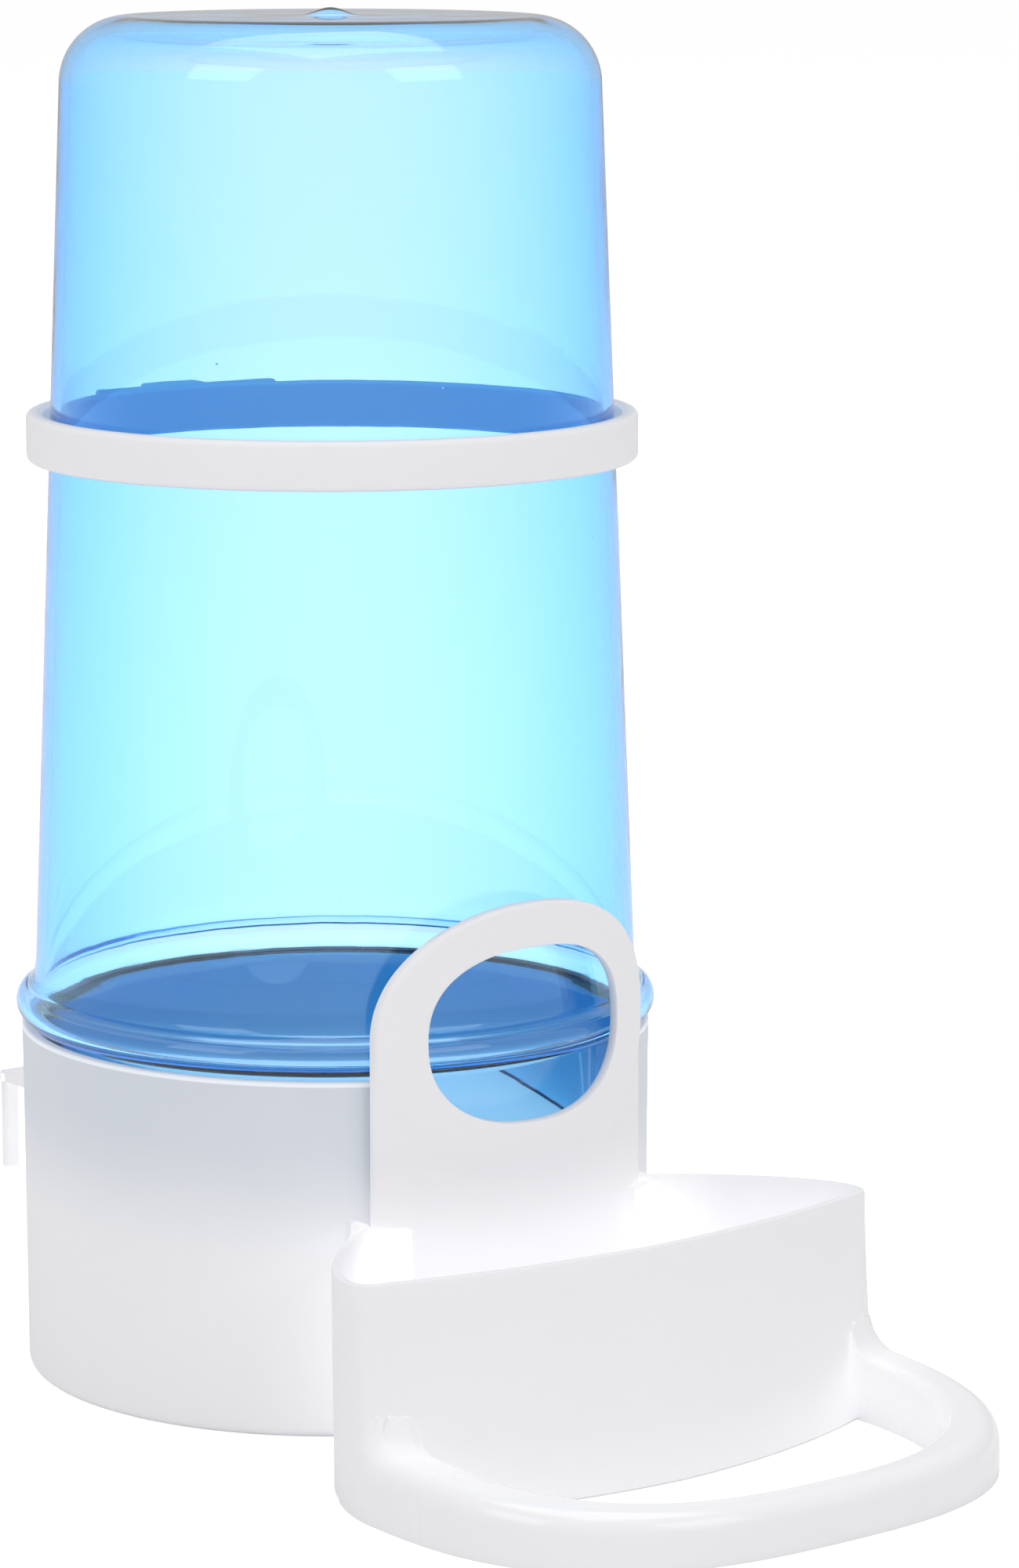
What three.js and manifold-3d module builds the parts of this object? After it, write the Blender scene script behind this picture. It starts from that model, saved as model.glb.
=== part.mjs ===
// Cage drinker for rabbits and other small livestock: a clear blue reservoir stands upside down
// in a white base and fills the trough in front of it, as a gravity drinker does.
// Millimetres, +Z up. The origin is on the drum's axis, on the face that the base stands on.
// The trough and the perch point along -Y, and the cage hooks point along +Y.
import * as THREE from 'three';
import { mergeVertices } from 'three/addons/utils/BufferGeometryUtils.js';
import Module from 'manifold-3d';

const wasm = await Module();
wasm.setup();

// Driving dimensions.
const ROUND_STEPS = 72;
const OVERCUT = 5;

const DRUM = { rimRadius: 50, footRadius: 49.6, height: 55.8, wall: 1.5, floor: 1.8, footRounding: 1.5 };
const WINDOW = { halfWidth: 23.5, halfWidthBehindRails: 22 };
const TROUGH = {
  height: 34.5, wall: 1.5, halfWidth: 48.8, frontForward: 82.4, sideEndForward: 71.5,
  neckHalfWidth: 27.6, neckForward: 45.5, lean: 6.9, leanPower: 1.5, leanLostAtSides: 0.4,
};
const PERCH = {
  rootHeight: 10.4, slope: 2.4, outerHalfWidth: 50.2, outerForward: 126.8, outerPower: 2.7,
  innerHalfWidth: 41.6, innerForward: 120.2, innerPower: 2.6,
  rootForward: 80, legForward: 67, rounding: 5.4, wall: 1.6,
};
const RAIL = {
  innerLipRadius: 50.9, outerLipRadius: 53.1, lip: 1.4, reach: 21.4, channelHalfWidth: 25.8,
  top: 33.8, stop: 3.7,
};
const HOOK = {
  innerX: 21, outerX: 29.4, prongWidth: 2.6, taper: 0.7, backY: 54.6, thickness: 1.8,
  top: 40.7, drop: 16.2, rounding: 1.2,
};
const RESERVOIR = {
  top: 213.9, wall: 1.6, waistRadius: 45.49, waistHeight: 120, taper: 0.04, shoulder: 10.5,
  skirtRadius: 47, skirtBottom: 33.5, seat: 56.2, beadRadius: 50.9, beadHeight: 5.8, flareTop: 67.5,
  nubRadius: 4.6, nubHeight: 1.2,
};
const COLLAR = {
  bottom: 145.1, height: 7.6, outerRadius: 48, innerRadius: 45.4, rounding: 0.9,
  barHalfWidth: 18, barFrontY: 47.4, barThickness: 2,
  hookWidth: 10.8, hookBackY: 54.6, hookThickness: 1.8, hookDrop: 8, turn: -3.5,
};
const SHUTTER = {
  innerRadius: 51.3, plateRadius: 52.7, bossRadius: 53.2, halfWidth: 25.4, bottom: 4,
  eyeHeight: 62, archRise: 20.2, bossDrop: 21.2, archPower: 2.15,
  holeHalfWidth: 17.9, holeRise: 13.2, holeDrop: 13.8, holePower: 2.4,
};

// Materials.
const whitePlastic = new THREE.MeshStandardMaterial({ color: 0xe6e7ea, roughness: 0.35, metalness: 0 });
const bluePlastic = new THREE.MeshStandardMaterial({
  color: 0x5fc8f5, roughness: 0.08, metalness: 0, transparent: true, opacity: 0.45,
});

// A closed geometry as a solid that can be cut and joined.
function solid(geometry) {
  const bare = geometry.clone();
  bare.deleteAttribute('normal');
  bare.deleteAttribute('uv');
  const merged = mergeVertices(bare, 1e-4);
  const corners = merged.index.array;
  const faces = [];
  for (let i = 0; i < corners.length; i += 3) {
    const [a, b, c] = corners.slice(i, i + 3);
    if (a !== b && b !== c && c !== a) faces.push(a, b, c);
  }
  return new wasm.Manifold(new wasm.Mesh({
    numProp: 3,
    vertProperties: new Float32Array(merged.attributes.position.array),
    triVerts: new Uint32Array(faces),
  }));
}

function piece(name, body, material) {
  const mesh = body.getMesh();
  const geometry = new THREE.BufferGeometry();
  geometry.setAttribute('position', new THREE.BufferAttribute(mesh.vertProperties, 3));
  geometry.setIndex(new THREE.BufferAttribute(mesh.triVerts, 1));
  geometry.computeVertexNormals();
  const result = new THREE.Mesh(geometry, material);
  result.name = name;
  return result;
}

const joined = (...bodies) => bodies.reduce((whole, body) => whole.add(body));
const point = (x, y) => new THREE.Vector2(x, y);

// Turns a closed profile of radius and height points about the Z axis.
function turned(profile) {
  const outline = profile[0].x === 0 ? profile : [...profile, profile[0].clone()];
  return solid(new THREE.LatheGeometry(outline, ROUND_STEPS).rotateX(Math.PI / 2));
}

function tube(innerRadius, outerRadius, low, high) {
  return turned([point(innerRadius, low), point(outerRadius, low), point(outerRadius, high),
    point(innerRadius, high)]);
}

// Raises a plan outline in X and Y from one height to another, in steps that can each be moved.
function raised(outline, low, high, steps = 1, move = () => {}) {
  const options = { depth: high - low, bevelEnabled: false, steps };
  const geometry = new THREE.ExtrudeGeometry(new THREE.Shape(outline), options).translate(0, 0, low);
  const corners = geometry.attributes.position;
  const corner = new THREE.Vector3();
  for (let i = 0; i < corners.count; i += 1) {
    move(corner.fromBufferAttribute(corners, i));
    corners.setXYZ(i, corner.x, corner.y, corner.z);
  }
  return solid(geometry);
}

// Raises a plan outline to a top edge that is rounded inwards, and tips that top about a line
// across the plan. The foot stays level.
function raisedWithRoundedTop(outline, low, top, rounding, tipForward, tip) {
  const options = {
    depth: top - low, bevelThickness: rounding, bevelSize: rounding, bevelOffset: -rounding, bevelSegments: 6,
  };
  const geometry = new THREE.ExtrudeGeometry(new THREE.Shape(outline), options)
    .translate(0, tipForward, -rounding - top + low)
    .applyMatrix4(tip)
    .translate(0, -tipForward, top);
  const reach = 3 * tipForward;
  return solid(geometry).subtract(block(-reach, reach, -reach, reach, -reach, low));
}

// Pushes a front-view outline in X and Z through everything between two places on Y.
function pushed(outline, frontY, backY) {
  const options = { depth: backY - frontY, bevelEnabled: false };
  const geometry = new THREE.ExtrudeGeometry(new THREE.Shape(outline), options);
  return solid(geometry.rotateX(Math.PI / 2).translate(0, backY, 0));
}

function block(x0, x1, y0, y1, z0, z1) {
  const geometry = new THREE.BoxGeometry(x1 - x0, y1 - y0, z1 - z0);
  return solid(geometry.translate((x0 + x1) / 2, (y0 + y1) / 2, (z0 + z1) / 2));
}

function arc(centreX, centreY, radius, fromDegrees, toDegrees, steps) {
  return Array.from({ length: steps + 1 }, (_, i) => {
    const angle = THREE.MathUtils.degToRad(fromDegrees + (toDegrees - fromDegrees) * i / steps);
    return point(centreX + radius * Math.cos(angle), centreY + radius * Math.sin(angle));
  });
}

// Part of a squared-off ellipse. Its upper and lower halves may differ in height.
function oval({ halfWidth, rise, drop, middle, power }, fromDegrees, toDegrees, steps) {
  return Array.from({ length: steps + 1 }, (_, i) => {
    const angle = THREE.MathUtils.degToRad(fromDegrees + (toDegrees - fromDegrees) * i / steps);
    const across = Math.sign(Math.cos(angle)) * Math.abs(Math.cos(angle)) ** (2 / power);
    const along = Math.sign(Math.sin(angle)) * Math.abs(Math.sin(angle)) ** (2 / power);
    return point(halfWidth * across, middle + (along > 0 ? rise : drop) * along);
  });
}

// An outline given from the right-hand back to the middle of the front, with its mirror image.
function mirrored(half) {
  const left = half.slice(0, -1).reverse().map((corner) => point(-corner.x, corner.y));
  return [...half, ...left];
}

// Base: drum, trough, guide rails, perch and cage hooks are one moulding.
const drumInside = (low) => tube(0, DRUM.rimRadius - DRUM.wall, low, DRUM.height + OVERCUT);

function makeDrum() {
  const { rimRadius, footRadius, height, wall, floor, footRounding } = DRUM;
  return turned([
    point(0, 0),
    ...arc(footRadius - footRounding, footRounding, footRounding, -90, 0, 3),
    point(rimRadius, height - 0.5),
    point(rimRadius - 0.4, height),
    point(rimRadius - wall, height),
    point(footRadius - wall, floor + footRounding),
    point(footRadius - wall - footRounding, floor),
    point(0, floor),
  ]);
}

// The feeding window, which is narrower where the rails stand in front of its edges.
function windowOpening() {
  const opening = (halfWidth, low) => block(-halfWidth, halfWidth, -DRUM.rimRadius - OVERCUT,
    -DRUM.rimRadius / 2, low, DRUM.height + OVERCUT);
  return opening(WINDOW.halfWidthBehindRails, DRUM.floor).add(opening(WINDOW.halfWidth, RAIL.top));
}

// The trough's plan: a neck at the drum that flares to two rounded front corners.
function troughPlan(inset) {
  const { halfWidth, frontForward, sideEndForward, neckHalfWidth, neckForward } = TROUGH;
  const wide = halfWidth - inset;
  const neck = neckHalfWidth - inset;
  const front = inset - frontForward;
  const side = new THREE.CubicBezierCurve(point(neck, -neckForward), point(neck + 6, -neckForward - 4.5),
    point(wide, -sideEndForward + 8.5), point(wide, -sideEndForward));
  const corner = new THREE.QuadraticBezierCurve(point(wide, -sideEndForward), point(wide, front + 7),
    point(wide - 5.3, front + 6.4));
  const bow = new THREE.QuadraticBezierCurve(point(wide - 5.3, front + 6.4), point(wide * 0.49, front + 0.5),
    point(0, front));
  return mirrored([
    point(neck, -DRUM.rimRadius * 0.8),
    ...side.getPoints(9),
    ...corner.getPoints(4).slice(1),
    ...bow.getPoints(7).slice(1),
  ]);
}

// The trough's front wall leans: its foot stands further forward than its rim.
function leanForward(corner) {
  const { height, lean, leanPower, leanLostAtSides, sideEndForward } = TROUGH;
  const depth = THREE.MathUtils.clamp(1 - corner.z / height, 0, 1) ** leanPower;
  const sideways = 1 - leanLostAtSides * (corner.x / 40) ** 2;
  const inFront = THREE.MathUtils.smoothstep(-corner.y, sideEndForward - 14, sideEndForward + 4);
  corner.y -= lean * depth * sideways * inFront;
}

const troughBlock = () => raised(troughPlan(0), 0, TROUGH.height, 6, leanForward)
  .subtract(drumInside(DRUM.floor));

const troughInside = () => raised(troughPlan(TROUGH.wall), DRUM.floor, TROUGH.height + OVERCUT, 6,
  leanForward).subtract(tube(0, DRUM.rimRadius, 0, DRUM.height + OVERCUT));

// Two grooves that hold the shutter's edges, closed at the foot by a stop.
function makeRails() {
  const { innerLipRadius, outerLipRadius, lip, reach, channelHalfWidth, top, stop } = RAIL;
  const wallX = TROUGH.neckHalfWidth;
  const rings = joined(
    tube(DRUM.rimRadius - DRUM.wall, innerLipRadius, 0, top),
    tube(outerLipRadius, outerLipRadius + lip, 0, top),
    tube(innerLipRadius - 0.1, outerLipRadius + 0.1, 0, stop),
  );
  const grooveWalls = tube(DRUM.rimRadius - DRUM.wall, outerLipRadius + lip, 0, top);
  return joined(...[1, -1].flatMap((side) => {
    const strip = (nearX, farX) => block(Math.min(side * nearX, side * farX),
      Math.max(side * nearX, side * farX), -60, -38, 0, top);
    return [rings.intersect(strip(reach, wallX)), grooveWalls.intersect(strip(channelHalfWidth, wallX))];
  }));
}

// The D-shaped perch bar in front of the trough: hollow from below and lower at the front.
function perchPlan(halfWidth, forward, power, legHalfWidth) {
  const { rootForward, legForward } = PERCH;
  const bow = oval({ halfWidth, rise: 0, drop: forward - rootForward, middle: -rootForward, power },
    0, -90, 16);
  return mirrored([point(legHalfWidth, -legForward), ...bow]);
}

function perchBlock(inset, low) {
  const { outerHalfWidth, outerForward, outerPower, rootForward, rootHeight, slope, rounding } = PERCH;
  const plan = perchPlan(outerHalfWidth - inset, outerForward - inset, outerPower,
    outerHalfWidth - inset - 3.5);
  const middle = (rootForward + outerForward) / 2;
  const height = rootHeight - inset - slope / 2;
  const fall = new THREE.Matrix4().makeRotationX(Math.atan(slope / (outerForward - rootForward)));
  return raisedWithRoundedTop(plan, low, height, rounding - inset, middle, fall);
}

function makePerch() {
  const { innerHalfWidth, innerForward, innerPower, wall } = PERCH;
  const opening = (inset) => raised(perchPlan(innerHalfWidth + inset, innerForward + inset, innerPower,
    innerHalfWidth + inset), -OVERCUT, 2 * PERCH.rootHeight);
  return perchBlock(0, 0)
    .subtract(opening(0))
    .subtract(perchBlock(wall, -1).subtract(opening(wall)));
}

// Two hooks at the back: each is a flat arm with a prong at its outer end that drops behind a
// cage wire.
function makeHooks() {
  const { innerX, outerX, prongWidth, taper, backY, thickness, top, drop, rounding } = HOOK;
  return joined(...[1, -1].map((side) => {
    const outline = [
      point(innerX, top), point(innerX, top - thickness), point(outerX - prongWidth, top - thickness),
      point(outerX - prongWidth, top - drop),
      ...arc(outerX - taper - rounding, top - drop + rounding, rounding, -90, 0, 3),
      ...arc(outerX - rounding, top - rounding, rounding, 0, 90, 3),
    ].map((corner) => point(side * corner.x, corner.y));
    const [low, high] = side > 0 ? [innerX, outerX] : [-outerX, -innerX];
    const bent = joined(
      block(low, high, DRUM.rimRadius * 0.7, backY, top - thickness, top),
      block(low, high, backY - thickness, backY, top - drop, top),
    );
    return bent.intersect(pushed(outline, 0, 2 * backY)).subtract(drumInside(0));
  }));
}

const base = joined(makeDrum(), troughBlock(), makePerch())
  .subtract(troughInside())
  .subtract(windowOpening())
  .add(makeRails())
  .add(makeHooks());

// Reservoir: one clear moulding, open at the bottom. Its bead stands on the drum's rim.
function makeReservoir() {
  const { top, wall, waistRadius, waistHeight, taper, shoulder, skirtRadius, skirtBottom } = RESERVOIR;
  const { seat, beadRadius, beadHeight, flareTop, nubRadius, nubHeight } = RESERVOIR;
  const bodyRadius = (height) => waistRadius - taper * (height - waistHeight);
  const shoulderHeight = top - shoulder;
  const shoulderRadius = bodyRadius(shoulderHeight);
  const beadHalf = beadHeight / 2;
  const flare = new THREE.QuadraticBezierCurve(point(beadRadius - 2.2, seat + beadHeight + 0.4),
    point(bodyRadius(flareTop) + 0.1, seat + beadHeight + 1), point(bodyRadius(flareTop), flareTop));
  return turned([
    point(skirtRadius - wall, skirtBottom),
    point(skirtRadius - 0.3, skirtBottom),
    point(skirtRadius, seat),
    ...arc(beadRadius - beadHalf, seat + beadHalf, beadHalf, -90, 70, 6),
    ...flare.getPoints(4),
    ...arc(shoulderRadius - shoulder, shoulderHeight, shoulder, 0, 90, 7),
    point(nubRadius, top),
    point(nubRadius - 0.4, top + nubHeight),
    point(0, top + nubHeight),
    point(0, top - wall),
    ...arc(shoulderRadius - shoulder, shoulderHeight, shoulder - wall, 90, 0, 6),
    point(bodyRadius(flareTop) - wall, flareTop),
  ]);
}

// Collar: a ring that is loose round the reservoir, with a bar and a hook for the cage. It sits
// slightly turned on the reservoir.
function makeCollar() {
  const { bottom, height, outerRadius, innerRadius, rounding } = COLLAR;
  const { barHalfWidth, barFrontY, barThickness } = COLLAR;
  const { hookWidth, hookBackY, hookThickness, hookDrop, turn } = COLLAR;
  const topEdge = bottom + height;
  const ring = turned([
    ...arc(innerRadius + rounding, bottom + rounding, rounding, 180, 270, 2),
    ...arc(outerRadius - rounding, bottom + rounding, rounding, -90, 0, 3),
    ...arc(outerRadius - rounding, topEdge - rounding, rounding, 0, 90, 3),
    ...arc(innerRadius + rounding, topEdge - rounding, rounding, 90, 180, 2),
  ]);
  const bar = block(-barHalfWidth, barHalfWidth, barFrontY, barFrontY + barThickness, bottom, topEdge);
  const half = hookWidth / 2;
  const arm = block(-half, half, barFrontY, hookBackY, topEdge - hookThickness, topEdge);
  const prong = block(-half, half, hookBackY - hookThickness, hookBackY, topEdge - hookDrop, topEdge);
  return joined(ring, bar, arm, prong).rotate([0, 0, turn]);
}

// Shutter: a curved plate that slides up in the rails, with a finger hole in a raised eye.
function makeShutter() {
  const { innerRadius, plateRadius, bossRadius, halfWidth, bottom, eyeHeight } = SHUTTER;
  const { archRise, bossDrop, archPower, holeHalfWidth, holeRise, holeDrop, holePower } = SHUTTER;
  const top = eyeHeight + archRise + OVERCUT;
  const eye = { halfWidth, rise: archRise, drop: bossDrop, middle: eyeHeight, power: archPower };
  const hole = { halfWidth: holeHalfWidth, rise: holeRise, drop: holeDrop, middle: eyeHeight,
    power: holePower };
  const outline = [
    ...oval(eye, 0, 180, 24),
    ...arc(-halfWidth + 1.5, bottom + 1.5, 1.5, 180, 270, 3),
    ...arc(halfWidth - 1.5, bottom + 1.5, 1.5, 270, 360, 3),
  ];
  const plate = tube(innerRadius, plateRadius, bottom - OVERCUT, top)
    .intersect(pushed(outline, -2 * bossRadius, 0));
  const boss = tube(innerRadius, bossRadius, bottom, top)
    .intersect(pushed(oval(eye, 0, 360, 48).slice(1), -2 * bossRadius, 0));
  return plate.add(boss).subtract(pushed(oval(hole, 0, 360, 40).slice(1), -2 * bossRadius, 0));
}

const drinker = new THREE.Group();
drinker.add(
  piece('base', base, whitePlastic),
  piece('reservoir', makeReservoir(), bluePlastic),
  piece('collar', makeCollar(), whitePlastic),
  piece('shutter', makeShutter(), whitePlastic),
);

export default drinker;
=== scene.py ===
import math

import bmesh
import bpy
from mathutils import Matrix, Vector


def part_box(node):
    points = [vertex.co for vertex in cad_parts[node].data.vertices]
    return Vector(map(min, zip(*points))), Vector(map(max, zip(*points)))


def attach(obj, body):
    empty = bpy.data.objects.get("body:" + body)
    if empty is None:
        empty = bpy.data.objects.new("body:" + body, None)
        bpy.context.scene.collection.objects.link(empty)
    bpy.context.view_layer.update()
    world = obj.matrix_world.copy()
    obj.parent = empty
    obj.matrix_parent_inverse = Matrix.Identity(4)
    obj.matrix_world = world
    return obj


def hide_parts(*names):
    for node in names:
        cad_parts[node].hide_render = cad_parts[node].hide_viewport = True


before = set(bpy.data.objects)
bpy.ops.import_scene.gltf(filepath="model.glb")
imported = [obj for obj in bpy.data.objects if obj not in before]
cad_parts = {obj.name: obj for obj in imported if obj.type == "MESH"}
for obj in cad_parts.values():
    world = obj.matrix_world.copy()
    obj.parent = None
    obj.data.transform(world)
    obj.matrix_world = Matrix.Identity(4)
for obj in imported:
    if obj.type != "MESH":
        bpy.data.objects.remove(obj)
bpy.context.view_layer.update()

# ---------------------------------------------------------------- studio
# A pale table top that runs to the horizon under a white sky, with two tall soft boxes in front of
# the drinker, one to each side, as in a product studio. The backdrop is far brighter than the
# light on the drinker, so the clear plastic glows.

BACKDROP_GLOW = (10.8, 2.2, 1.22, 1.0)  # lights only what is seen through the clear plastic
SKY_WHITE = (1.0, 1.0, 1.0, 1.0)
SKY_BRIGHTNESS = 0.58
TABLE_GLOW = 0.45
TABLE_GLOW_THROUGH_JAR = 0.8


class Socket:
    """A node's output, with the operators that add Math nodes."""

    def __init__(self, tree, output):
        self.tree = tree
        self.output = output

    def _math(self, operation, *values):
        return self.tree.node("ShaderNodeMath", {"operation": operation}, *values)

    def __add__(self, other):
        return self._math("ADD", self, other)

    def __radd__(self, other):
        return self._math("ADD", other, self)

    def __sub__(self, other):
        return self._math("SUBTRACT", self, other)

    def __rsub__(self, other):
        return self._math("SUBTRACT", other, self)

    def __mul__(self, other):
        return self._math("MULTIPLY", self, other)

    def __rmul__(self, other):
        return self._math("MULTIPLY", other, self)

    def __truediv__(self, other):
        return self._math("DIVIDE", self, other)

    def smooth(self, start, end):
        """0 below start, 1 above end, with a soft rise between them."""
        settings = {"interpolation_type": "SMOOTHSTEP"}
        return self.tree.node("ShaderNodeMapRange", settings, self, start, end, 0.0, 1.0)


class Shader:
    """A material's or world's nodes. node() adds one and returns its first output."""

    def __init__(self, owner):
        owner.use_nodes = True
        self.owner = owner
        self.nodes = owner.node_tree.nodes
        self.links = owner.node_tree.links
        self.nodes.clear()

    def node(self, kind, settings=None, *values, output=0, **named):
        made = self.nodes.new(kind)
        for name, value in (settings or {}).items():
            setattr(made, name, value)
        wanted = list(enumerate(values))
        wanted += [(name.replace("_", " "), value) for name, value in named.items()]
        for key, value in wanted:
            if isinstance(value, Socket):
                self.links.new(value.output, made.inputs[key])
            else:
                made.inputs[key].default_value = value
        return Socket(self, made.outputs[output])

    def blend(self, factor, first, second):
        """Mixes two colours by a value."""
        made = self.nodes.new("ShaderNodeMix")
        made.data_type = "RGBA"
        for key, value in (("Factor", factor), ("A", first), ("B", second)):
            socket = [i for i in made.inputs if i.name == key and i.type in ("VALUE", "RGBA")]
            socket = [i for i in socket if key == "Factor" or i.type == "RGBA"][0]
            if isinstance(value, Socket):
                self.links.new(value.output, socket)
            else:
                socket.default_value = value
        return Socket(self, [o for o in made.outputs if o.type == "RGBA"][0])

    def place(self):
        """The place on the object, in metres."""
        return self.node("ShaderNodeTexCoord", output=3)

    def part(self, vector, axis):
        """One axis of a place."""
        return self.node("ShaderNodeSeparateXYZ", None, vector, output="XYZ".index(axis))

    def noise(self, vector, scale, detail=2.0):
        return self.node("ShaderNodeTexNoise", None, Vector=vector, Scale=scale, Detail=detail)

    def surface(self, socket, volume=None):
        in_world = isinstance(self.owner, bpy.types.World)
        out = self.nodes.new("ShaderNodeOutputWorld" if in_world else "ShaderNodeOutputMaterial")
        self.links.new(socket.output, out.inputs["Surface"])
        if volume:
            self.links.new(volume.output, out.inputs["Volume"])


def straight_and_through(shader):
    """1 for rays straight from the camera, and 1 for rays that come out of clear plastic."""
    return (shader.node("ShaderNodeLightPath", output="Is Camera Ray"),
            shader.node("ShaderNodeLightPath", output="Is Transmission Ray"))


world = bpy.data.worlds.new("white_studio")
bpy.context.scene.world = world
sky = Shader(world)
straight, through = straight_and_through(sky)
sky_colour = sky.blend(through, SKY_WHITE, BACKDROP_GLOW)
strength = SKY_BRIGHTNESS + (straight + through) * (1.0 - SKY_BRIGHTNESS)
sky.surface(sky.node("ShaderNodeBackground", None, Color=sky_colour, Strength=strength))

TABLE_HALF = 30.0
table = bpy.data.meshes.new("table_top")
corners = [(x * TABLE_HALF, y * TABLE_HALF, 0.0) for x, y in ((-1, -1), (1, -1), (1, 1), (-1, 1))]
table.from_pydata(corners, [], [(0, 1, 2, 3)])
table_top = bpy.data.objects.new("table_top", table)
bpy.context.scene.collection.objects.link(table_top)
table_paint = Shader(bpy.data.materials.new("pale_table"))
matt = table_paint.node("ShaderNodeBsdfDiffuse", None, Color=(0.93, 0.93, 0.94, 1.0))
straight, through = straight_and_through(table_paint)
table_colour = table_paint.blend(through, SKY_WHITE, BACKDROP_GLOW)
table_light = straight * TABLE_GLOW + through * TABLE_GLOW_THROUGH_JAR
glow = table_paint.node("ShaderNodeEmission", None, Color=table_colour, Strength=table_light)
table_paint.surface(table_paint.node("ShaderNodeAddShader", None, matt, glow))
table.materials.append(table_paint.owner)

# The camera stands low in front, a third of a right angle round to the drinker's left.
CAMERA_PLACE = Vector((-0.4948, -0.7040, 0.2417))
CAMERA_AIM = Vector((0.0227, -0.0160, 0.0928))
CAMERA_LENS = 126.26
camera_data = bpy.data.cameras.new("camera")
camera_data.lens = CAMERA_LENS
camera_data.sensor_width = 36.0
camera = bpy.data.objects.new("camera", camera_data)
camera.location = CAMERA_PLACE
camera.rotation_euler = (CAMERA_AIM - CAMERA_PLACE).to_track_quat("-Z", "Y").to_euler()
bpy.context.scene.collection.objects.link(camera)
bpy.context.scene.camera = camera

camera_angle = math.atan2(CAMERA_PLACE.y, CAMERA_PLACE.x)


def soft_box(name, turn, distance, middle, width, height, watts):
    """A rectangular light that faces the drinker. turn is its angle from the camera, seen from above."""
    angle = camera_angle + math.radians(turn)
    data = bpy.data.lights.new(name, "AREA")
    data.shape = "RECTANGLE"
    data.size = width
    data.size_y = height
    data.energy = watts
    lamp = bpy.data.objects.new(name, data)
    lamp.location = (distance * math.cos(angle), distance * math.sin(angle), middle)
    lamp.rotation_euler = (Vector((0.0, 0.0, 0.12)) - lamp.location).to_track_quat("-Z", "Y").to_euler()
    bpy.context.scene.collection.objects.link(lamp)


overhead = bpy.data.lights.new("overhead_soft_box", "AREA")
overhead.size = 1.6
overhead.energy = 15.0
overhead_lamp = bpy.data.objects.new("overhead_soft_box", overhead)
overhead_lamp.location = (0.0, 0.0, 2.0)
bpy.context.scene.collection.objects.link(overhead_lamp)
soft_box("left_soft_box", -50.0, 1.55, 1.1, 0.9, 0.7, 3.1)
soft_box("right_soft_box", 44.0, 1.55, 1.1, 0.9, 0.7, 3.1)
bpy.context.scene.view_settings.view_transform = "Standard"

# ---------------------------------------------------------------- reservoir
# The clear blue jar, injection moulded in one piece of styrene plastic 1.6 mm thick, stands
# upside down. Its rolled bead rests on the drum's rim and its skirt hangs inside the drum.

MM = 0.001


def arc(centre_r, centre_z, radius, start, end, steps, height=None):
    """Points of radius and height round an arc, in millimetres. height makes it an ellipse."""
    turns = [math.radians(start + (end - start) * i / steps) for i in range(steps + 1)]
    height = radius if height is None else height
    return [(centre_r + radius * math.cos(t), centre_z + height * math.sin(t)) for t in turns]


def curve(points, steps):
    """A Bezier curve through its first and last point, without the first, in any number of axes."""
    result = []
    for i in range(1, steps + 1):
        t = i / steps
        level = [Vector(p) for p in points]
        while len(level) > 1:
            level = [a.lerp(b, t) for a, b in zip(level, level[1:])]
        result.append(tuple(level[0]))
    return result


def new_piece(name, corners, faces, material, body, slot):
    """Makes a piece from corners in millimetres, smooth except at sharp edges, and lets it ride."""
    mesh = bpy.data.meshes.new(name)
    mesh.from_pydata([Vector(c) * MM for c in corners], [], faces)
    shell = bmesh.new()
    shell.from_mesh(mesh)
    bmesh.ops.recalc_face_normals(shell, faces=shell.faces)
    shell.to_mesh(mesh)
    shell.free()
    mesh.materials.append(material)
    mesh.shade_smooth()
    mesh.set_sharp_from_angle(angle=math.radians(38))
    piece = bpy.data.objects.new(name, mesh)
    bpy.context.scene.collection.objects.link(piece)
    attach(piece, body)
    return piece


def loops(rings, closed=True, capped=False, first=0):
    """Faces between rings of corners that all have the same count. closed joins the last to the first."""
    count = len(rings[0])
    faces = []
    for i in range(len(rings) if closed else len(rings) - 1):
        a, b = first + i * count, first + (i + 1) % len(rings) * count
        faces += [(a + j, b + j, b + (j + 1) % count, a + (j + 1) % count) for j in range(count)]
    if capped:
        faces.append(tuple(range(first, first + count)))
        faces.append(tuple(reversed(range(first + (len(rings) - 1) * count, first + len(rings) * count))))
    return faces


def turned(profile, steps, start=0.0, end=360.0):
    """Rings of a closed profile turned about the drum's axis; angles count from the front."""
    whole = abs(end - start - 360.0) < 1e-6
    turns = [math.radians(start + (end - start) * i / steps) for i in range(steps if whole else steps + 1)]
    return [[(r * math.sin(t), -r * math.cos(t), z) for r, z in profile] for t in turns]


def add(parts, rings, closed=True, capped=False):
    """Adds the rings of one closed form to the corners and faces of a piece."""
    parts[1].extend(loops(rings, closed, capped, len(parts[0])))
    parts[0].extend(c for ring in rings for c in ring)


jar_low, jar_high = (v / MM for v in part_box("reservoir"))
JAR_WALL = 1.6
JAR_WAIST = 45.49
JAR_WAIST_HEIGHT = 120.0
JAR_TAPER = 0.04
JAR_SHOULDER = 10.5
JAR_NUB = 1.2
JAR_SEAT = 56.2
JAR_SKIRT = 47.0
JAR_FLARE_TOP = 67.5
BEAD_RADIUS = jar_high.x
BEAD_HEIGHT = 5.8
jar_top = jar_high.z - JAR_NUB


def jar_radius(height):
    return JAR_WAIST - JAR_TAPER * (height - JAR_WAIST_HEIGHT)


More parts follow.
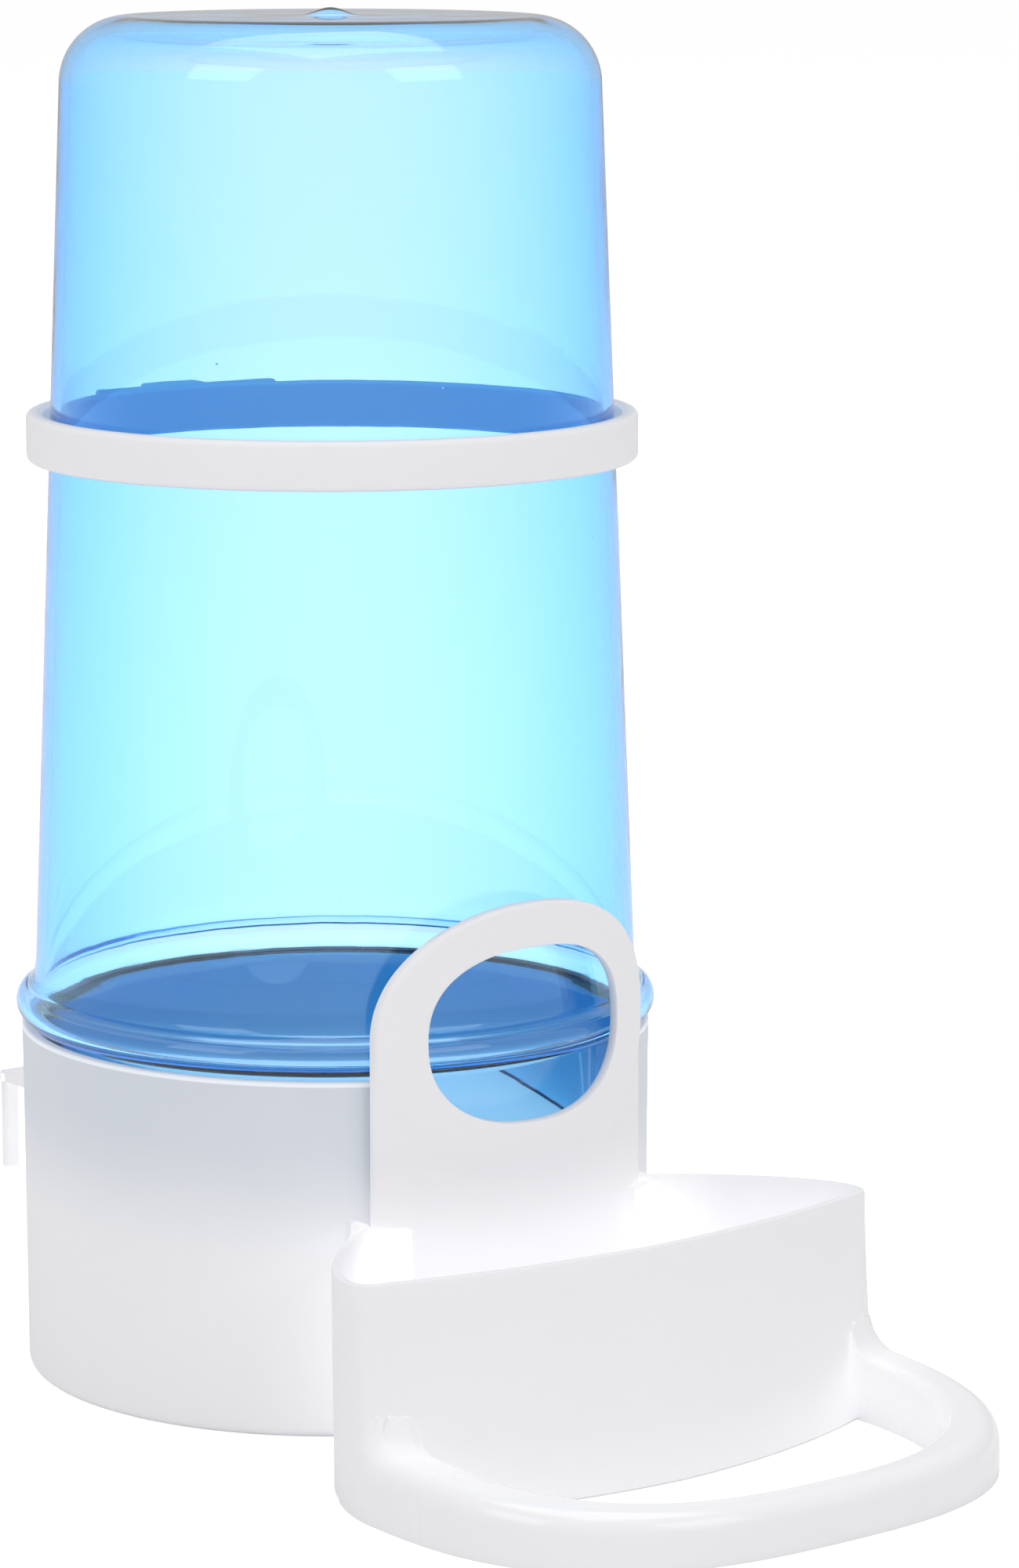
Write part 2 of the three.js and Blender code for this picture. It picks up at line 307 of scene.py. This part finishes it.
shoulder_z = jar_top - JAR_SHOULDER
shoulder_r = jar_radius(shoulder_z)
bead_half = BEAD_HEIGHT / 2
flare_foot = (BEAD_RADIUS - 2.2, JAR_SEAT + BEAD_HEIGHT + 0.4)
jar_profile = [(JAR_SKIRT - JAR_WALL + 0.3, jar_low.z)]
jar_profile += arc(JAR_SKIRT - 0.8, jar_low.z + 0.5, 0.5, -90, 0, 4)
jar_profile += [(JAR_SKIRT, JAR_SEAT)]
jar_profile += arc(BEAD_RADIUS - bead_half, JAR_SEAT + bead_half, bead_half, -90, 70, 14)
jar_profile += [flare_foot]
flare_end = (jar_radius(JAR_FLARE_TOP), JAR_FLARE_TOP)
jar_profile += curve([flare_foot, (flare_end[0] + 0.1, JAR_SEAT + BEAD_HEIGHT + 1), flare_end], 10)
for i in range(1, 9):
    z = JAR_FLARE_TOP + (shoulder_z - JAR_FLARE_TOP) * i / 9
    jar_profile.append((jar_radius(z), z))
jar_profile += arc(shoulder_r - JAR_SHOULDER, shoulder_z, JAR_SHOULDER, 0, 90, 18)
NUB_RADIUS = 5.0
dome = [(NUB_RADIUS * (1 - i / 8), JAR_NUB * (1 - math.cos(math.pi * i / 8)) / 2) for i in range(8)]
jar_profile += [(15.0, jar_top)] + [(r, jar_top + rise) for r, rise in dome] + [(0.02, jar_high.z)]
jar_profile += [(0.02, jar_high.z - JAR_WALL)]
jar_profile += [(r, jar_top - JAR_WALL + rise) for r, rise in reversed(dome)] + [(15.0, jar_top - JAR_WALL)]
jar_profile += arc(shoulder_r - JAR_SHOULDER, shoulder_z, JAR_SHOULDER - JAR_WALL, 90, 0, 16)
for i in range(1, 9):
    z = shoulder_z + (JAR_FLARE_TOP + 1 - shoulder_z) * i / 9
    jar_profile.append((jar_radius(z) - JAR_WALL, z))
# The bead is rolled, so its inner face follows its outer face.
bead_inside = bead_half - JAR_WALL + 0.2
jar_profile += curve([(jar_radius(JAR_FLARE_TOP + 1) - JAR_WALL, JAR_FLARE_TOP + 1),
                      (jar_radius(JAR_FLARE_TOP) - JAR_WALL, 63.0), (47.2, 61.6)], 8)
jar_profile += arc(BEAD_RADIUS - bead_half, JAR_SEAT + bead_half, bead_inside, 60, -80, 10)
jar_profile += curve([jar_profile[-1], (JAR_SKIRT - JAR_WALL + 0.3, 57.4), (JAR_SKIRT - JAR_WALL, 55.0)], 6)

blue = Shader(bpy.data.materials.new("clear_blue_styrene"))
place = blue.place()
ripple = blue.noise(place, 38.0, 1.0) * 0.8 + blue.noise(place, 140.0, 1.0) * 0.2
pits = blue.node("ShaderNodeTexVoronoi", None, Vector=place, Scale=95.0, Randomness=1.0)
pit = 1.0 - pits.smooth(0.0, 0.03)
scuffs = blue.noise(blue.node("ShaderNodeMapping", None, place, Scale=(1.0, 1.0, 9.0)), 60.0, 4.0)
normal = blue.node("ShaderNodeBump", None, Strength=0.12, Distance=0.0006, Height=ripple + pit * 0.5)
jar_surface = blue.node(
    "ShaderNodeBsdfPrincipled", None, Base_Color=(1.0, 1.0, 1.0, 1.0),
    Roughness=scuffs.smooth(0.55, 0.75) * 0.05 + 0.01, IOR=1.57, Transmission_Weight=1.0, Normal=normal)
JAR_COLOUR_PER_WALL = (0.25, 0.65, 0.955)
loss = [-math.log(c) / (JAR_WALL * MM) for c in JAR_COLOUR_PER_WALL]
thickest = max(loss) * 1.02
tint = [1 - value / thickest for value in loss] + [1.0]
jar_depth = blue.node("ShaderNodeVolumeAbsorption", None, Color=tint, Density=thickest)
blue.surface(jar_surface, jar_depth)

jar_parts = ([], [])
add(jar_parts, turned(jar_profile, 192))
jar = new_piece("clear_jar", *jar_parts, blue.owner, "reservoir", "blue_clear_plastic")
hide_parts("reservoir")

# ---------------------------------------------------------------- base
# The white base is one moulding of natural polypropylene: the drum, the trough with its leaning
# front wall, two guide rails for the shutter, the perch loop, and two hooks for a cage wire.

white = Shader(bpy.data.materials.new("milky_polypropylene"))
place = white.place()
height = white.part(place, "Z")
across = white.part(place, "X")
along = white.part(place, "Y")
radius = white.node("ShaderNodeVectorMath", {"operation": "LENGTH"},
                    white.node("ShaderNodeCombineXYZ", None, across, along, 0.0), output="Value")
cloud = white.noise(place, 24.0, 3.0)
grain = white.noise(place, 900.0, 2.0)
flow = white.noise(white.node("ShaderNodeMapping", None, place, Scale=(1.0, 1.0, 4.0)), 45.0, 2.0)
# Painted shade: a bluish-grey band on the drum's wall, where the jar's skirt stands behind it, stands in
# for the skirt's shade and blue seen through the thin wall. It stays on the base when the jar is lifted.
skirt_shade_mask = height.smooth(0.026, 0.047) * (1.0 - height.smooth(0.056, 0.0565))
skirt_shade_mask = skirt_shade_mask * (1.0 - radius.smooth(0.0506, 0.0512))
WHITE = (0.935, 0.932, 0.945, 1.0)
SHADED = (0.915, 0.913, 0.930, 1.0)
SKIRT_SHADE_PAINT = (0.70, 0.745, 0.81, 1.0)
colour = white.blend(cloud, WHITE, SHADED)
colour = white.blend(skirt_shade_mask * (0.75 + cloud * 0.3), colour, SKIRT_SHADE_PAINT)
normal = white.node("ShaderNodeBump", None, Strength=0.10, Distance=0.0004,
                    Height=grain * 0.35 + flow * 0.05)
# The perch is polished by use. The rest has the mould's satin finish.
on_perch = 1.0 - along.smooth(-0.094, -0.086)
roughness = cloud * 0.08 + 0.42 - on_perch * 0.32
# Painted light: an emitted glow stands for the light that the thin walls let through. It brightens the
# hollows, the inside of the drum, the collar and the trough, and draws a bright line on the drum's rim top.
# It is set by hollows and by place, and it stays where it is when the pieces move.
HOLLOW_GLOW = 0.24
DRUM_GLOW = 0.26
COLLAR_GLOW = 0.24
RIM_GLOW = 0.25
TROUGH_GLOW = 0.16
BLACK = (0.0, 0.0, 0.0, 1.0)
sampling = {"samples": 8, "only_local": True}
open_sky = white.node("ShaderNodeAmbientOcclusion", sampling, Distance=0.05, output="AO")
under_rim = 1.0 - height.smooth(0.056, 0.0565)
in_drum = (1.0 - radius.smooth(0.0485, 0.0488)) * under_rim
in_collar = (1.0 - radius.smooth(0.0456, 0.0460)) * height.smooth(0.130, 0.135)
on_rim = height.smooth(0.0549, 0.0552) * under_rim * (1.0 - radius.smooth(0.0504, 0.0508))
in_trough = radius.smooth(0.0508, 0.0512) * (1.0 - radius.smooth(0.054, 0.068))
in_trough = in_trough * (1.0 - height.smooth(0.028, 0.044))
share = (1.0 - open_sky) * HOLLOW_GLOW + in_drum * DRUM_GLOW + in_collar * COLLAR_GLOW
share = share + on_rim * RIM_GLOW + in_trough * TROUGH_GLOW
glow = white.blend(share, BLACK, WHITE)
moulded = white.node(
    "ShaderNodeBsdfPrincipled", None, Base_Color=colour, Roughness=roughness,
    IOR=1.49, Normal=normal, Emission_Color=glow, Emission_Strength=1.0)
white.surface(moulded)

base_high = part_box("base")[1] / MM
DRUM_RIM = 50.0
DRUM_FOOT = 49.6
DRUM_WALL = 1.5
FLOOR = 1.8
DRUM_TOP = base_high.z
WINDOW_HALF = 23.5
RAIL_TOP = 33.8
base_parts = ([], [])

# Drum: a wall that stops at the two sides of the feeding window, on a round floor.
wall_profile = arc(DRUM_FOOT - 1.6, 1.6, 1.6, -90, 0, 6)
wall_profile += [(DRUM_RIM - 0.1, DRUM_TOP - 6), (DRUM_RIM, DRUM_TOP - 0.5)]
wall_profile += arc(DRUM_RIM - 0.45, DRUM_TOP - 0.45, 0.45, 0, 90, 4)
wall_profile += arc(DRUM_RIM - DRUM_WALL + 0.35, DRUM_TOP - 0.35, 0.35, 90, 180, 3)
wall_profile += [(DRUM_FOOT - DRUM_WALL, FLOOR + 2.2)]
wall_profile += arc(DRUM_FOOT - DRUM_WALL - 2, FLOOR + 2, 2, 0, -90, 5)
window_side = math.degrees(math.asin(WINDOW_HALF / DRUM_RIM))
add(base_parts, turned(wall_profile, 150, window_side, 360 - window_side), closed=False, capped=True)
floor_profile = [(0.02, 0.0), (DRUM_FOOT - 1.7, 0.0), (DRUM_FOOT - 0.3, 1.2)]
floor_profile += [(DRUM_FOOT - 0.6, FLOOR), (0.02, FLOOR)]
add(base_parts, turned(floor_profile, 150))

# Trough: a thin wall that follows a flared plan. Its front leans, so the foot stands forward.
TROUGH_TOP = 34.5
TROUGH_WALL = 1.5
TROUGH_HALF = 48.8
TROUGH_FRONT = 82.4
TROUGH_SIDE_END = 71.5
NECK_HALF = 27.6
NECK_FORWARD = 45.5
LEAN = 6.9


def plan_curve():
    """The outside of the trough's rim from the right neck to the left neck, as x and forward."""
    right = [(NECK_HALF, 40.0), (NECK_HALF, NECK_FORWARD)]
    side = [(NECK_HALF, NECK_FORWARD), (NECK_HALF + 6, NECK_FORWARD + 4.5),
            (TROUGH_HALF, TROUGH_SIDE_END - 8.5), (TROUGH_HALF, TROUGH_SIDE_END)]
    corner_end = (TROUGH_HALF - 5.3, TROUGH_FRONT - 6.4)
    corner = [side[-1], (TROUGH_HALF, TROUGH_FRONT - 7), corner_end]
    bow = [corner_end, (TROUGH_HALF * 0.49, TROUGH_FRONT - 0.5), (0.0, TROUGH_FRONT)]
    right += curve(side, 26) + curve(corner, 14) + curve(bow, 26)
    return right + [(-x, f) for x, f in reversed(right[:-1])]


def outward(path, i):
    """The direction square to a path at one point, to the outside of a path that runs right to left."""
    a, b = Vector(path[max(i - 1, 0)]), Vector(path[min(i + 1, len(path) - 1)])
    step = (b - a).normalized()
    return Vector((step.y, -step.x))


def soft_step(value, start, end):
    t = min(max((value - start) / (end - start), 0.0), 1.0)
    return t * t * (3 - 2 * t)


def leaned(x, forward, z):
    """Moves a point of the trough forward by the lean of its front wall."""
    depth = min(max(1 - z / TROUGH_TOP, 0.0), 1.0) ** 1.5
    sideways = 1 - 0.4 * (x / 40) ** 2
    in_front = soft_step(forward, TROUGH_SIDE_END - 14, TROUGH_SIDE_END + 4)
    return (x, -(forward + LEAN * depth * sideways * in_front), z)


def wall_section():
    """The trough wall's section: how far inside the outer face, and how high."""
    outside = [(0.0, z) for z in (0.4, 3.0, 6.0, 9.0, 12.0, 15.0, 18.0, 22.0, 26.0, 30.0)]
    rim = [(0.0, TROUGH_TOP - 0.5), (0.15, TROUGH_TOP - 0.15), (0.5, TROUGH_TOP)]
    rim += [(TROUGH_WALL - 0.5, TROUGH_TOP), (TROUGH_WALL - 0.15, TROUGH_TOP - 0.15)]
    inside = [(TROUGH_WALL, z) for z in (34.0, 30.0, 26.0, 22.0, 18.0, 15.0, 12.0, 9.0, 6.0, 4.2)]
    foot = [(TROUGH_WALL + 0.6, FLOOR + 0.7), (TROUGH_WALL + 2.2, FLOOR)]
    foot += [(TROUGH_WALL + 2.2, 0.0), (0.4, 0.0)]
    return outside + rim + inside + foot


path = plan_curve()
rings = []
for i, (x, forward) in enumerate(path):
    out = outward(path, i)
    rings.append([leaned(x - out.x * inset, forward - out.y * inset, z) for inset, z in wall_section()])
add(base_parts, rings, closed=False, capped=True)

# Trough floor: a flat plate inside the wall's foot.
inner = [(x - outward(path, i).x * 1.0, forward - outward(path, i).y * 1.0)
         for i, (x, forward) in enumerate(path)]
inner = [point for point in inner if point[1] > NECK_FORWARD - 2]
plate = [[leaned(x, f, 0.0)[:2] + (z,) for x, f in inner] for z in (0.05, FLOOR)]
add(base_parts, plate, closed=False, capped=True)

# Perch: a D-shaped bar, open underneath, with a rounded crest and a small lip on its inner side.
PERCH_ROOT_HEIGHT = 10.4
PERCH_SLOPE = 2.4
PERCH_ROOT = 80.0
PERCH_OUTER = (50.2, 126.4, 2.7)
PERCH_INNER = (41.6, 120.2, 2.6)
PERCH_WALL = 1.6
LEG_FORWARD = 67.0
LEG_TAPER = 3.2


def perch_point(size, t):
    """A point of the perch's outline; t runs from -1 at the right root to 1 at the left root."""
    half, front, power = size
    angle = math.radians(90 * (1 - abs(t)))
    x = half * math.cos(angle) ** (2 / power)
    forward = PERCH_ROOT + (front - PERCH_ROOT) * math.sin(angle) ** (2 / power)
    return Vector((-math.copysign(x, t), forward))


def perch_section(width, top, lip):
    """The bar's section from its outer foot over the crest to its inner foot, and back underneath."""
    round_out, drop = 3.4, 4.2
    outside = [(0.0, 0.0), (0.0, 1.6), (0.0, top - drop)]
    outside += arc(round_out, top - drop, -round_out, 0, -90, 12, -drop)[1:]
    lip_at = width - 1.4
    crest = [(round_out + (lip_at - round_out) * share, top) for share in (0.3, 0.6, 0.85)]
    crest += [(lip_at, top - 0.15), (lip_at + 0.3, top - 0.3 - 0.7 * lip)]
    crest += [(width - 0.3, top - 0.4 - 0.8 * lip), (width, top - 0.8 - 0.8 * lip)]
    inside = [(width, 0.0), (width - PERCH_WALL, 0.0), (width - PERCH_WALL, top - 3.0)]
    under = [(round_out, top - PERCH_WALL - 0.3), (PERCH_WALL + 0.6, top - 4.4), (PERCH_WALL, top - 6.4)]
    return outside + crest + inside + under + [(PERCH_WALL, 0.0)]


ROOT_FILLET = 4.5
WALL_MIDDLE = 0.75
outwards = [Vector((outward(path, i).x, -outward(path, i).y)) for i in range(len(path))]
wall_lines = {}


def joined_to_wall(x, y, z, foot):
    """Ends the bar inside the trough's wall, and lifts its top there in a hollow curve."""
    if -y > PERCH_ROOT + 16:
        return (x, y, z)
    level = round(z)
    if level not in wall_lines:
        wall_lines[level] = [Vector(leaned(px, forward, level)[:2]) for px, forward in path]
    line = wall_lines[level]
    spot = Vector((x, y))
    i = min(range(len(line)), key=lambda j: (line[j] - spot).length_squared)
    off = (spot - line[i]).dot(outwards[i])
    if off < -WALL_MIDDLE:
        spot -= outwards[i] * (off + WALL_MIDDLE)
    rest = max(ROOT_FILLET - max(off, 0.0), 0.0)
    lift = ROOT_FILLET - math.sqrt(ROOT_FILLET ** 2 - rest ** 2)
    return (spot.x, spot.y, z + lift * soft_step(z, foot, foot + 3.0))


def perch_rings():
    """Stations from the right root round the front to the left root, closer together at the roots."""
    feet = [LEG_FORWARD + 0.8 * i for i in range(16)] + [PERCH_ROOT + 0.6 * i for i in range(6)]
    steps = 88
    stations = [(-1.0, f) for f in feet]
    stations += [(-1 + 2 * i / steps, 0) for i in range(1, steps)]
    stations += [(1.0, f) for f in reversed(feet)]
    rings = []
    for t, forward in stations:
        ends = []
        for half, front, power in (PERCH_OUTER, PERCH_INNER):
            if forward:
                ahead = max(forward - PERCH_ROOT, 0.0) / (front - PERCH_ROOT)
                x = half * (1 - ahead ** power) ** (1 / power)
                ends.append(Vector((-math.copysign(x, t), forward)))
            else:
                ends.append(perch_point((half, front, power), t))
        outer, inner = ends
        if forward and forward < PERCH_ROOT:
            back = (PERCH_ROOT - forward) / (PERCH_ROOT - LEG_FORWARD)
            outer.x -= math.copysign(LEG_TAPER * back * back, outer.x)
        ahead = ((outer.y + inner.y) / 2 - PERCH_ROOT) / (PERCH_OUTER[1] - PERCH_ROOT)
        top = PERCH_ROOT_HEIGHT - PERCH_SLOPE * ahead
        lip = soft_step(ahead, 0.55, 0.85)
        width = (inner - outer).length
        step = (inner - outer) / width
        rings.append([joined_to_wall(outer.x + step.x * u, -(outer.y + step.y * u), z, top - 4.2)
                      for u, z in perch_section(width, top, lip)])
    return rings


add(base_parts, perch_rings(), closed=False, capped=True)


def bar(x0, x1, y0, y1, z0, z1, edge=0.35):
    """Rings of a straight bar with its four upright edges and its top rounded."""
    def outline(cut, z):
        a, b, c, d = x0 + cut, x1 - cut, y0 + cut, y1 - cut
        e = edge
        return [(a + e, c, z), (b - e, c, z), (b, c + e, z), (b, d - e, z),
                (b - e, d, z), (a + e, d, z), (a, d - e, z), (a, c + e, z)]
    levels = ((0.0, z0), (0.0, z1 - edge), (edge * 0.3, z1 - edge * 0.3), (edge, z1))
    return [outline(cut, z) for cut, z in levels]


# Guide rails: an inner lip and an outer lip stand out from a side wall and hold the shutter's edge.
RAIL_INNER = 50.9
RAIL_OUTER = 53.1
RAIL_LIP = 1.4
RAIL_REACH = 21.4
GROOVE_HALF = 25.8


def curved_strip(near, far, inner_r, outer_r, z0, z1, edge=0.3):
    """Rings of a strip round the drum between two places on x, with a softened top."""
    rings = []
    for i in range(7):
        x = near + (far - near) * i / 6
        ring = [(inner_r, z0), (outer_r, z0), (outer_r, z1 - edge), (outer_r - edge, z1),
                (inner_r + edge, z1), (inner_r, z1 - edge)]
        rings.append([(x, -math.sqrt(r * r - x * x), z) for r, z in ring])
    return rings


LIP_FOOT = 0.5
STOP_TOP = 3.7
inner_lip = (DRUM_RIM - DRUM_WALL, RAIL_INNER)
outer_lip = (RAIL_OUTER, RAIL_OUTER + RAIL_LIP)
between_lips = (RAIL_INNER - 0.2, RAIL_OUTER + 0.2)
for side in (1, -1):
    for near, far, (inner_r, outer_r), strip_top in (
            (RAIL_REACH, NECK_HALF - 0.3, inner_lip, RAIL_TOP),
            (RAIL_REACH, NECK_HALF - 0.3, outer_lip, RAIL_TOP),
            (GROOVE_HALF, NECK_HALF - 0.3, between_lips, RAIL_TOP),
            (RAIL_REACH, NECK_HALF, between_lips, STOP_TOP)):
        strip = curved_strip(side * near, side * far, inner_r, outer_r, LIP_FOOT, strip_top)
        add(base_parts, strip if side > 0 else strip[::-1], closed=False, capped=True)

# Cage hooks: a flat arm from the drum's back with a prong at its outer end.
HOOK_INNER = 21.0
HOOK_OUTER = 29.4
HOOK_PRONG = 2.6
HOOK_THICK = 1.8
HOOK_TOP = 40.7
HOOK_DROP = 16.2
HOOK_EDGE = 0.4
WALL_CENTRE = 49.1
for side in (1, -1):
    arm = []
    for i in range(9):
        x = side * (HOOK_INNER + (HOOK_OUTER - HOOK_INNER) * i / 8)
        near = math.sqrt(WALL_CENTRE ** 2 - x * x)
        ring = ((near, HOOK_TOP - HOOK_THICK), (base_high.y, HOOK_TOP - HOOK_THICK),
                (base_high.y, HOOK_TOP - HOOK_EDGE), (base_high.y - HOOK_EDGE, HOOK_TOP), (near, HOOK_TOP))
        arm.append([(x, y, z) for y, z in ring])
    add(base_parts, arm, closed=False, capped=True)
    a, b = sorted((side * (HOOK_OUTER - HOOK_PRONG), side * HOOK_OUTER))
    add(base_parts, bar(a, b, base_high.y - HOOK_THICK, base_high.y, HOOK_TOP - HOOK_DROP, HOOK_TOP - 0.2),
        closed=False, capped=True)

base = new_piece("white_base", *base_parts, white.owner, "base", "white_plastic")
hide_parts("base")

# ---------------------------------------------------------------- collar
# A white ring is slipped over the jar from above and holds it to the cage. A straight bar at its
# back carries a hook, moulded with it in the same polypropylene.

collar_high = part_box("collar")[1] / MM
COLLAR_INNER = 45.4
COLLAR_BOTTOM = 145.1
COLLAR_TOP = 152.7
collar_outer = collar_high.x
collar_parts = ([], [])
ring_profile = arc(COLLAR_INNER + 0.8, COLLAR_BOTTOM + 0.8, 0.8, 180, 270, 4)
ring_profile += arc(collar_outer - 1.0, COLLAR_BOTTOM + 1.0, 1.0, -90, 0, 6)
ring_profile += arc(collar_outer - 1.0, COLLAR_TOP - 1.0, 1.0, 0, 90, 6)
ring_profile += arc(COLLAR_INNER + 0.8, COLLAR_TOP - 0.8, 0.8, 90, 180, 4)
add(collar_parts, turned(ring_profile, 192))
BAR_HALF = 18.0
BAR_FRONT = 47.4
BAR_BACK = 49.4
HOOK_HALF = 5.4
COLLAR_HOOK_BACK = 54.6
COLLAR_HOOK_THICK = 1.8
COLLAR_HOOK_DROP = 8.0
COLLAR_TURN = math.radians(-3.5)


def turned_bar(*sizes):
    """A bar of the collar's bracket. The collar sits slightly turned on the reservoir."""
    cosine, sine = math.cos(COLLAR_TURN), math.sin(COLLAR_TURN)
    return [[(x * cosine - y * sine, x * sine + y * cosine, z) for x, y, z in ring] for ring in bar(*sizes)]


hook_foot = COLLAR_TOP - COLLAR_HOOK_DROP
hook_under = COLLAR_TOP - COLLAR_HOOK_THICK
hook_front = COLLAR_HOOK_BACK - COLLAR_HOOK_THICK
arm_back = COLLAR_HOOK_BACK - 0.02
for half, front, back, low, high in (
        (BAR_HALF, BAR_FRONT, BAR_BACK, COLLAR_BOTTOM + 0.1, COLLAR_TOP),
        (HOOK_HALF, BAR_FRONT + 0.5, arm_back, hook_under, COLLAR_TOP - 0.02),
        (HOOK_HALF, hook_front, COLLAR_HOOK_BACK, hook_foot, COLLAR_TOP - 0.1)):
    add(collar_parts, turned_bar(-half, half, front, back, low, high), closed=False, capped=True)
collar = new_piece("white_collar", *collar_parts, white.owner, "collar", "white_plastic")
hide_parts("collar")

# ---------------------------------------------------------------- shutter
# A curved white plate closes the feeding window. It slides up between the rails, and a finger
# lifts it by the hole in its raised eye.

shutter_low, shutter_high = (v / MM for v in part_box("shutter"))
PLATE_BACK = 51.3
PLATE_FRONT = 52.7
EYE_FRONT = 53.2
SHUTTER_HALF = shutter_high.x
SHUTTER_FOOT = shutter_low.z
EYE_HEIGHT = 62.0
EYE_RISE = shutter_high.z - EYE_HEIGHT
EYE_DROP = 21.2
EYE_POWER = 2.15
HOLE = (17.9, 13.2, 13.8, 2.4)


def oval_reach(direction, half, rise, drop, power):
    """How far an oval's edge is from its middle in one direction."""
    height = rise if direction.y > 0 else drop
    return (abs(direction.x / half) ** power + abs(direction.y / height) ** power) ** (-1 / power)


def shutter_edge(direction):
    """How far the plate's edge is from the hole's middle in one direction."""
    if direction.y >= 0:
        return oval_reach(direction, SHUTTER_HALF, EYE_RISE, EYE_RISE, EYE_POWER)
    sideways = SHUTTER_HALF / max(abs(direction.x), 1e-6)
    down = (EYE_HEIGHT - SHUTTER_FOOT) / -direction.y
    return min(sideways, down)


def shutter_front(x, z):
    """The radius of the plate's front face: the eye stands slightly proud."""
    height = EYE_RISE if z > EYE_HEIGHT else EYE_DROP
    inside = abs(x / SHUTTER_HALF) ** EYE_POWER + abs((z - EYE_HEIGHT) / height) ** EYE_POWER
    return EYE_FRONT - (EYE_FRONT - PLATE_FRONT) * soft_step(inside, 0.97, 1.05)


def shutter_rings():
    corner = math.degrees(math.atan2(EYE_HEIGHT - SHUTTER_FOOT, SHUTTER_HALF))
    fan = [i * 2.0 for i in range(91)]
    fan += [180 + corner * i / 34 for i in range(1, 35)]
    fan += [180 + corner + (180 - 2 * corner) * i / 20 for i in range(1, 20)]
    fan += [360 - corner + corner * i / 34 for i in range(34)]
    rings = []
    for degrees in fan:
        direction = Vector((math.cos(math.radians(degrees)), math.sin(math.radians(degrees))))
        near = oval_reach(direction, *HOLE)
        far = shutter_edge(direction)
        near, far = direction * near, direction * far
        span = (far - near).length
        edge = 0.5 / span
        shares = [0.0, edge * 0.3, edge] + [edge + (1 - 2 * edge) * i / 24 for i in range(1, 24)]
        shares += [1 - edge, 1 - edge * 0.3, 1.0]
        sunk = {0.0: 0.5, edge * 0.3: 0.15, 1 - edge * 0.3: 0.15, 1.0: 0.5}
        front, back = [], []
        for share in shares:
            x, up = near.lerp(far, share)
            z = EYE_HEIGHT + up
            for face, radius in ((front, shutter_front(x, z) - sunk.get(share, 0.0)),
                                 (back, PLATE_BACK + sunk.get(share, 0.0) * 0.6)):
                face.append((x, -math.sqrt(radius * radius - x * x), z))
        rings.append(front + back[::-1])
    return rings


shutter_parts = ([], [])
add(shutter_parts, shutter_rings())
shutter = new_piece("white_shutter", *shutter_parts, white.owner, "shutter", "white_plastic")
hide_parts("shutter")
